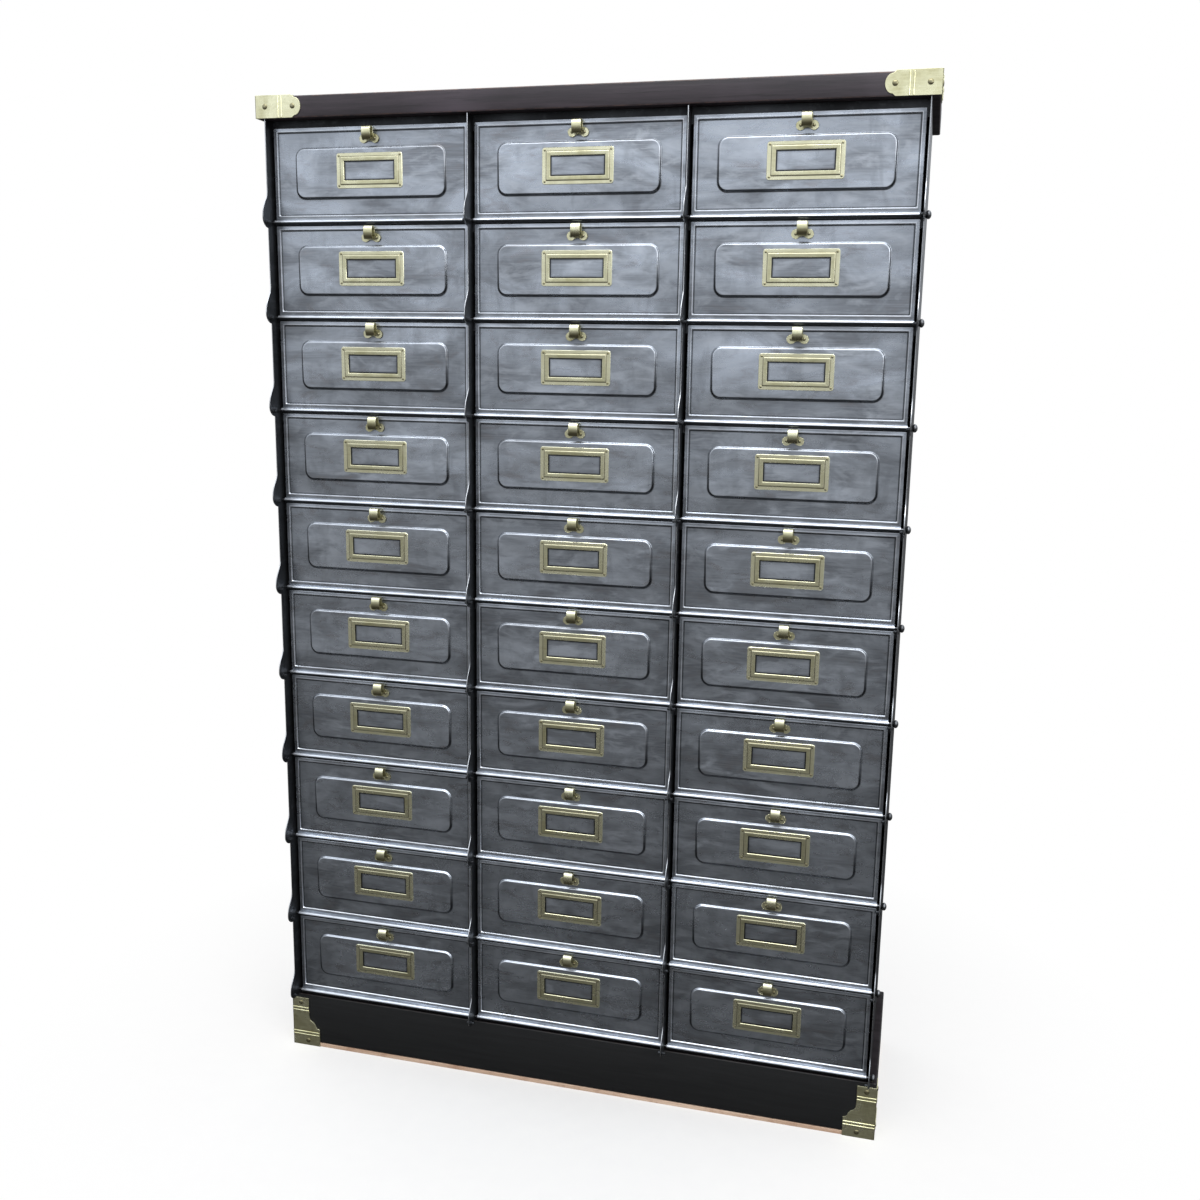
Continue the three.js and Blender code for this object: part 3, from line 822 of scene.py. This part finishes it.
def pull(name, place):
    """A rolled strap over the flap's top edge, on a base with a rivet in each ear."""
    bm, wear, grime = new_bmesh()
    prism(bm, ear_outline(), from_front(place), HEM_Y + RECESS + 0.4 * MM, PULL_BASE_FRONT)
    # The base is darkened round its edges and left light on its face.
    paint(bm.verts, grime, 0.9)
    front = min(bm.faces, key=lambda face: face.calc_center_median().y)
    bmesh.ops.inset_individual(bm, faces=[front], thickness=0.9 * MM)
    paint(front.verts, grime, 0.05)
    base_verts = set(bm.verts)
    half = PULL_WIDTH / 2
    prism(bm, pull_curl(), from_side(place), -half, half)
    # On the strap: painted shade below the shade line and a painted highlight above it, where the strap
    # turns up and over the hem.
    for vert in set(bm.verts) - base_verts:
        depth = (place.z + PULL_SHADE_TOP - vert.co.z) / PULL_SHADE_LENGTH
        vert[grime] = min(0.85, max(0.0, depth))
        vert[wear] = min(0.7, max(0.0, -0.7 * depth))
    for side in (-1, 1):
        spot = place + Vector((side * EAR_SPREAD, PULL_BASE_FRONT, EAR_CENTRE))
        dome(bm, spot, FORWARDS, EAR_RIVET_RADIUS, EAR_RIVET_HEIGHT, grime, 4, 14)
    piece = make_object(name, bm, BRASS, 40)
    round_edges(piece, 0.35 * MM)
    return piece


def build_flaps():
    for flap in FLAPS:
        place = HINGES[flap]
        suffix = flap.replace("flap_", "")
        sheet = pressed_flap(f"pressed_sheet_{suffix}", place)
        stand_for(sheet, flap, "flap_steel", flap)
        stand_for(label_holder(f"label_holder_{suffix}", place), flap, "brass")
        stand_for(card_behind_window(f"label_backing_{suffix}", place), flap, "flap_steel")
        stand_for(pull(f"pull_{suffix}", place), flap, "brass")


# ---- Casing -----------------------------------------------------------------------------------


def panel_outline(low, high, back):
    """The edge of a side or divider in (y, z): straight, with a nose in front of each rod."""
    straight = AXIS_Y - PANEL_AHEAD_OF_AXIS
    tip = AXIS_Y - NOSE_AHEAD_OF_AXIS
    points = [(back, low.z), (back, high.z), (straight, high.z)]
    for z in AXIS_HEIGHTS:
        drop = min(NOSE_DROP, z - low.z)
        start = (straight, z + NOSE_RISE)
        middle = (tip, z + NOSE_TIP)
        end = (straight, z - drop)
        points.append(start)
        points += bezier(start, (straight, z + 34 * MM), (tip, z + 30 * MM), middle, 12)
        points += bezier(middle, (tip, z - 3 * MM), (straight - 7 * MM, z - drop), end, 10)
    return points


def folded_flange(bm, low, high, wall_x, outwards):
    """A side's rear edge, folded inwards behind the back sheet; returns its rearmost y."""
    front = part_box("back_and_top_sheet")[1].y + FLANGE_GAP
    back = front + PANEL_SHEET
    section = [(front, low.z), (back, low.z), (back, high.z), (front, high.z)]
    ends = sorted((wall_x + PANEL_SHEET / 2 * outwards, wall_x - FLANGE_WIDTH * outwards))
    prism(bm, section, along_x, *ends)
    return back


def stop_pin(bm, spot, side):
    """A pin that stands out from spot along x, towards side, with a boss round its foot."""
    straight = PIN_LENGTH - 1 * MM
    profile = [
        (0, -0.5 * MM),
        (PIN_RADIUS, -0.5 * MM),
        (PIN_RADIUS, straight),
        (PIN_RADIUS * 0.7, straight + 0.7 * MM),
        (0, PIN_LENGTH),
    ]
    turned_bar(bm, profile, lambda a, b, along: spot + Vector((side * along, a, b)), 14)
    dome(bm, spot, Vector((side, 0, 0)), BOSS_RADIUS, PIN_BOSS_HEIGHT, None, 3)


def panel(node, sides):
    """A side or divider; sides says on which of its faces, -1 or 1, the stop pins stand out."""
    low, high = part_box(node)
    bm, _, _ = new_bmesh()
    half = PANEL_SHEET / 2
    wall_x = (low.x + high.x) / 2
    back = high.y
    if node in OUTWARDS:
        wall_x = OUTER_WALL_X * OUTWARDS[node]
        back = folded_flange(bm, low, high, wall_x, OUTWARDS[node])
    prism(bm, panel_outline(low, high, back), along_x, wall_x - half, wall_x + half)
    for face in bm.faces:
        if len(face.verts) == 4 and face.calc_center_median().y < AXIS_Y:
            face.material_index = 1
    for z in AXIS_HEIGHTS:
        for side in (-1, 1):
            spot = Vector((wall_x + side * half, AXIS_Y - PIN_AHEAD_OF_AXIS, z - PIN_DROP))
            if side in sides:
                stop_pin(bm, spot, side)
            else:
                dome(bm, spot, Vector((side, 0, 0)), BOSS_RADIUS, BARE_BOSS_HEIGHT)
    piece = make_object(f"{node}_sheet", bm, CASING_STEEL, 40)
    piece.data.materials.append(ROD_STEEL)
    round_edges(piece, 0.4 * MM)
    stand_for(piece, CASING, "casing_steel", node)


def hinge_rod(node):
    """A rod through all three columns, with a collar and a round knob at each end."""
    low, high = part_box(node)
    reach = (high.x - low.x) / 2
    axis_z = (low.z + high.z) / 2
    knob = reach - KNOB_HALF_LENGTH
    panel_face = OUTER_WALL_X + PANEL_SHEET / 2
    half = [(ROD_RADIUS, panel_face + 0.1 * MM), (COLLAR_RADIUS, panel_face + 0.3 * MM)]
    for step in range(1, 9):
        angle = math.radians(KNOB_SWEEP * (1 - step / 9))
        half.append((KNOB_RADIUS * math.sin(angle), knob + KNOB_HALF_LENGTH * math.cos(angle)))
    half.append((0, reach))
    profile = [(radius, -along) for radius, along in half[::-1]] + half
    bm, _, grime = new_bmesh()
    turned_bar(bm, profile, lambda a, b, along: Vector((along, AXIS_Y + a, axis_z + b)))
    paint([vert for vert in bm.verts if abs(vert.co.x) > panel_face], grime, 0.75)
    piece = make_object(f"{node}_turned", bm, ROD_STEEL, 40)
    stand_for(piece, CASING, "rod_steel", node)


def dress_cad_nodes():
    """Dresses the shelves and the back, which are shown as the CAD frame has them."""
    for node in SHELVES + ["back_and_top_sheet"]:
        piece = frame["nodes"][node]
        piece.data.materials.clear()
        piece.data.materials.append(CASING_STEEL)


def build_casing():
    panel("side_left", (1,))
    panel("side_right", (-1,))
    panel("divider_1", (-1, 1))
    panel("divider_2", (-1, 1))
    for node in RODS:
        hinge_rod(node)
    dress_cad_nodes()


# ---- Wood -------------------------------------------------------------------------------------


def outline_of(low, high, inset):
    """The outline of a board seen from above, drawn in by inset."""
    centre = (low + high) / 2
    half = (high - low) / 2
    points = rounded_loop(half.x - inset, half.y - inset, BOARD_CORNER, 0, 4)
    return [(centre.x + x, centre.y + y) for x, y in points]


def rounded_rim(low, high, z, radius, turn_up, worn, steps=4):
    """Loops round a board's edge at height z; turn_up says if they come from the face below."""
    loops = []
    for step in range(steps + 1):
        angle = math.pi / 2 * step / steps
        inset = radius * (1 - math.sin(angle))
        depth = radius * (1 - math.cos(angle))
        share = math.sin(2 * angle)
        level = z + depth if turn_up else z - depth
        loops.append((outline_of(low, high, inset), level, worn * share))
    return loops if turn_up else loops[::-1]


def dull_shaded_faces(piece, up):
    """Unpolished wood, darkened as painted shade, on the faces that look up, or down if up is -1."""
    piece.data.materials.append(DULL_SHADED_WOOD)
    for face in piece.data.polygons:
        if face.normal.z * up > 0.9:
            face.material_index = 1


def wooden_top():
    """A board with rounded edges that are rubbed brown."""
    low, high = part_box("top_board")
    bm, wear, _ = new_bmesh()
    flat = outline_of(low, high, 5 * MM)
    loops = [(flat, low.z, 0.0)]
    loops += rounded_rim(low, high, low.z, TOP_ROUNDING, True, 0.3)
    loops += rounded_rim(low, high, high.z, TOP_ROUNDING, False, 0.9)
    loops.append((flat, high.z, 0.0))
    rings = lofted(bm, loops, on_the_level, wear)
    bm.faces.new(rings[0][::-1])
    piece = make_object("wooden_top", bm, WOOD, 40)
    dull_shaded_faces(piece, -1)
    stand_for(piece, CASING, "dark_wood", "top_board")


def wooden_plinth():
    """Four mitred boards under a deck, open below."""
    low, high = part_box("plinth")
    foot = low.z + STRIP_HEIGHT
    bm, wear, grime = new_bmesh()
    inside = outline_of(low, high, PLINTH_WALL)
    loops = [(outline_of(low, high, 6 * MM), high.z, 0.0)]
    loops += rounded_rim(low, high, high.z, PLINTH_ROUNDING, False, 0.1)[::-1]
    loops += rounded_rim(low, high, foot, PLINTH_ROUNDING, True, 0.7)[::-1]
    loops.append((inside, foot, 0.0))
    loops.append((inside, high.z - PLINTH_DECK, 0.0))
    rings = lofted(bm, loops, on_the_level, wear)
    bm.faces.new(rings[0])
    paint(bm.verts, grime, 1.0)
    piece = make_object("wooden_plinth", bm, WOOD, 40)
    dull_shaded_faces(piece, 1)
    stand_for(piece, CASING, "dark_wood", "plinth")


def bare_wood_strip():
    """A thin frame of bare wood between the plinth and the floor."""
    low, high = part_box("plinth")
    top = low.z + STRIP_HEIGHT - STRIP_GAP
    inside = outline_of(low, high, PLINTH_WALL - 1 * MM)
    bm, _, _ = new_bmesh()
    loops = [(inside, top, 0.0)]
    loops += rounded_rim(low, high, top, STRIP_ROUNDING, False, 0.0)[::-1]
    loops += rounded_rim(low, high, low.z, STRIP_ROUNDING, True, 0.0)[::-1]
    loops.append((inside, low.z, 0.0))
    rings = lofted(bm, loops, on_the_level, close_last=False)
    join_rings(bm, rings[-1], rings[0])
    stand_for(make_object("bare_wood_strip", bm, RAW_WOOD, 40), CASING, "dark_wood")


# ---- Brass corners ----------------------------------------------------------------------------
# Drawn at the right-hand end and mirrored to the left. A corner is two legs, one facing forwards
# and one facing sideways, folded at the board's vertical edge. Distances run from the fold.


def top_leg_outline(low, high):
    """A strip that ends in a round tongue."""
    middle = (low + high) / 2
    points = [(0, low), (TOP_STRAIGHT, low)]
    for step in range(13):
        angle = math.radians(-90 + 180 * step / 12)
        along = TONGUE_CENTRE + TONGUE_LENGTH * math.cos(angle)
        points.append((along, middle + TONGUE_HALF_HEIGHT * math.sin(angle)))
    points += [(TOP_STRAIGHT, high), (0, high)]
    return points


def foot_leg_outline(low, high):
    """A strip, wide below and narrow above, with two hollow curves between the widths."""
    rise = high - low
    wide = FOOT_LEG_WIDE
    narrow = FOOT_LEG_NARROW
    step = (wide - narrow) / 2
    points = [(0, low), (wide, low), (wide, low + rise * 0.36)]
    points += bezier(
        points[-1], (wide - step, low + rise * 0.38), (wide - step * 0.6, low + rise * 0.46),
        (wide - step, low + rise * 0.47), 5,
    )
    points.append((wide - step * 1.15, low + rise * 0.5))
    points += bezier(
        points[-1], (narrow + 1 * MM, low + rise * 0.52), (narrow, low + rise * 0.58),
        (narrow, low + rise * 0.68), 5,
    )
    points += [(narrow, high), (0, high)]
    return points


def on_front_leg(fold):
    return lambda away, z, y: Vector((fold.x - away, y, z))


def on_side_leg(fold):
    return lambda away, z, x: Vector((x, fold.y + away, z))


def leg_pair(bm, outline, fold):
    """The front leg's outside is at y = fold.y, the side leg's at x = fold.x."""
    prism(bm, outline, on_front_leg(fold), fold.y, fold.y + LEG_DEPTH)
    prism(bm, outline, on_side_leg(fold), fold.x - LEG_DEPTH, fold.x)


def rib(bm, start, end, out):
    """A half-round rib from start to end, standing out along out."""
    along = (end - start).normalized()
    across = along.cross(out)
    steps = 6
    rings = []
    for spot in (start, end):
        ring = []
        for step in range(steps + 1):
            angle = math.pi * step / steps
            aside = across * (RIB_WIDTH / 2 * math.cos(angle))
            ring.append(bm.verts.new(spot + aside + out * (RIB_HEIGHT * math.sin(angle))))
        rings.append(ring)
    for i in range(steps):
        bm.faces.new((rings[0][i], rings[0][i + 1], rings[1][i + 1], rings[1][i]))
    bm.faces.new((rings[0][0], rings[0][-1], rings[1][-1], rings[1][0]))
    bm.faces.new(rings[0][::-1])
    bm.faces.new(rings[1])


def ribs_and_nails(bm, fold, ribs, nails, grime):
    """Puts ribs, from point to point, and nails on both legs; points are (from the fold, z)."""
    legs = ((on_front_leg(fold), fold.y, FORWARDS), (on_side_leg(fold), fold.x, SIDEWAYS))
    for leg, face, out in legs:
        for start, end in ribs:
            rib(bm, leg(*start, face), leg(*end, face), out)
        for away, z in nails:
            dome(bm, leg(away, z, face), out, NAIL_RADIUS, NAIL_HEIGHT, grime, 5, 20)


def mirror(bm):
    bmesh.ops.transform(bm, matrix=Matrix.Scale(-1, 4, Vector((1, 0, 0))), verts=bm.verts)
    bmesh.ops.reverse_faces(bm, faces=bm.faces)


def corner(kind, build):
    """Builds the right-hand and the left-hand corner of a kind."""
    for side in ("right", "left"):
        node = f"{kind}_{side}"
        low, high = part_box(node)
        reach = max(abs(low.x), abs(high.x)) - NAIL_HEIGHT
        fold = Vector((reach, low.y + NAIL_HEIGHT, 0))
        bm, _, grime = new_bmesh()
        build(bm, fold, low.z, high.z, grime)
        if side == "left":
            mirror(bm)
        piece = make_object(f"{node}_plate", bm, BRASS, 35)
        round_edges(piece, 0.45 * MM, 3)
        stand_for(piece, CASING, "brass", node)


def top_corner(bm, fold, low, high, grime):
    middle = (low + high) / 2
    leg_pair(bm, top_leg_outline(low, high - BRASS_SHEET * 0.5), fold)
    reach = TOP_STRAIGHT
    cut = reach * CAP_CORNER_SHARE
    cap = [(0, 0), (reach, 0), (reach, cut), (cut, reach), (0, reach)]
    prism(bm, cap, lambda a, b, z: Vector((fold.x - a, fold.y + b, z)), high - BRASS_SHEET, high)
    ribs = [((at, low + 0.5 * MM), (at, high - 1.6 * MM)) for at in TOP_RIBS]
    ribs_and_nails(bm, fold, ribs, [(FIRST_NAIL, middle), (LAST_TOP_NAIL, middle)], grime)


def foot_corner(bm, fold, low, high, grime):
    leg_pair(bm, foot_leg_outline(low, high), fold)
    rise = high - low
    ribs = []
    for width, shares in ((FOOT_LEG_NARROW, (0.79, 0.73)), (FOOT_LEG_WIDE, (0.28, 0.22))):
        for share in shares:
            z = low + rise * share
            ribs.append(((RIB_INSET, z), (width - RIB_INSET, z)))
    nails = [(FIRST_NAIL, low + rise * 0.9), (LAST_FOOT_NAIL, low + rise * 0.1)]
    ribs_and_nails(bm, fold, ribs, nails, grime)


# ---- Studio -----------------------------------------------------------------------------------


def build_floor():
    bm, _, _ = new_bmesh()
    bmesh.ops.create_grid(bm, x_segments=8, y_segments=8, size=FLOOR_REACH)
    floor = make_object("studio_floor", bm, FLOOR_PAINT)


def background(tree, strength):
    node = tree.nodes.new("ShaderNodeBackground")
    node.inputs["Color"].default_value = (1, 1, 1, 1)
    node.inputs["Strength"].default_value = strength
    return node


def reflected_sky(tree):
    """A sky for reflections: dark below, bright above."""
    direction = tree.nodes.new("ShaderNodeTexCoord")
    split = tree.nodes.new("ShaderNodeSeparateXYZ")
    shift = tree.nodes.new("ShaderNodeMapRange")
    shift.inputs["From Min"].default_value = -1
    height = tree.nodes.new("ShaderNodeValToRGB")
    elements = height.color_ramp.elements
    while len(elements) < len(SKY):
        elements.new(0.5)
    for element, (position, value) in zip(elements, SKY):
        element.position = position
        element.color = (value * 0.98, value * 1.02, value * 1.08, 1)
    sky = background(tree, 1.0)
    tree.links.new(direction.outputs["Generated"], split.inputs[0])
    tree.links.new(split.outputs["Z"], shift.inputs["Value"])
    tree.links.new(shift.outputs["Result"], height.inputs["Fac"])
    tree.links.new(height.outputs["Color"], sky.inputs["Color"])
    return sky


def switch(tree, chosen, otherwise, then):
    node = tree.nodes.new("ShaderNodeMixShader")
    for index, output in enumerate((chosen, otherwise, then)):
        tree.links.new(output, node.inputs[index])
    return node.outputs[0]


def build_world():
    """White behind the object, an even grey for soft light, and a sky of its own for reflections."""
    world = bpy.data.worlds.new("studio")
    bpy.context.scene.world = world
    world.use_nodes = True
    tree = world.node_tree
    tree.nodes.clear()
    rays = tree.nodes.new("ShaderNodeLightPath").outputs
    even = background(tree, SOFT_LIGHT).outputs[0]
    white = background(tree, 1.0).outputs[0]
    lit = switch(tree, rays["Is Glossy Ray"], even, reflected_sky(tree).outputs[0])
    shown = switch(tree, rays["Is Camera Ray"], lit, white)
    output = tree.nodes.new("ShaderNodeOutputWorld")
    tree.links.new(shown, output.inputs["Surface"])


def add_area(name, location, target, size, power):
    light = bpy.data.lights.new(name, "AREA")
    light.shape = "RECTANGLE"
    light.size, light.size_y = size
    light.energy = power
    lamp = bpy.data.objects.new(name, light)
    lamp.location = location
    lamp.rotation_euler = (Vector(target) - Vector(location)).to_track_quat("-Z", "Y").to_euler()
    bpy.context.scene.collection.objects.link(lamp)


def build_lights():
    middle = (0, 0, CAD_HIGH.z * 0.5)
    add_area("overhead", (0.2, -1.6, 3.6), (0, 0, 1.0), (2.6, 1.4), 42)
    add_area("right_front", (2.6, -2.8, 2.4), middle, (1.6, 1.6), 30)
    add_area("left_back", (-2.8, 1.8, 2.6), middle, (1.6, 1.6), 8)


def build_camera():
    data = bpy.data.cameras.new("camera")
    data.sensor_width = 36
    data.lens = FOCAL_SHARE * data.sensor_width
    camera = bpy.data.objects.new("camera", data)
    yaw, pitch, roll = (math.radians(angle) for angle in (CAMERA_YAW, CAMERA_PITCH, CAMERA_ROLL))
    ahead = Vector((-math.sin(yaw) * math.cos(pitch), math.cos(yaw) * math.cos(pitch), math.sin(pitch)))
    level = Vector((math.cos(yaw), math.sin(yaw), 0))
    upright = level.cross(ahead)
    right = math.cos(roll) * level + math.sin(roll) * upright
    up = math.cos(roll) * upright - math.sin(roll) * level
    axes = Matrix((right, up, -ahead)).transposed().to_4x4()
    camera.matrix_world = Matrix.Translation(CAMERA_PLACE) @ axes
    bpy.context.scene.collection.objects.link(camera)
    bpy.context.scene.camera = camera


build_camera()
build_flaps()
build_casing()
wooden_top()
wooden_plinth()
bare_wood_strip()
corner("top_corner", top_corner)
corner("foot_corner", foot_corner)
build_floor()
build_world()
build_lights()
bpy.context.scene.view_settings.view_transform = "Standard"
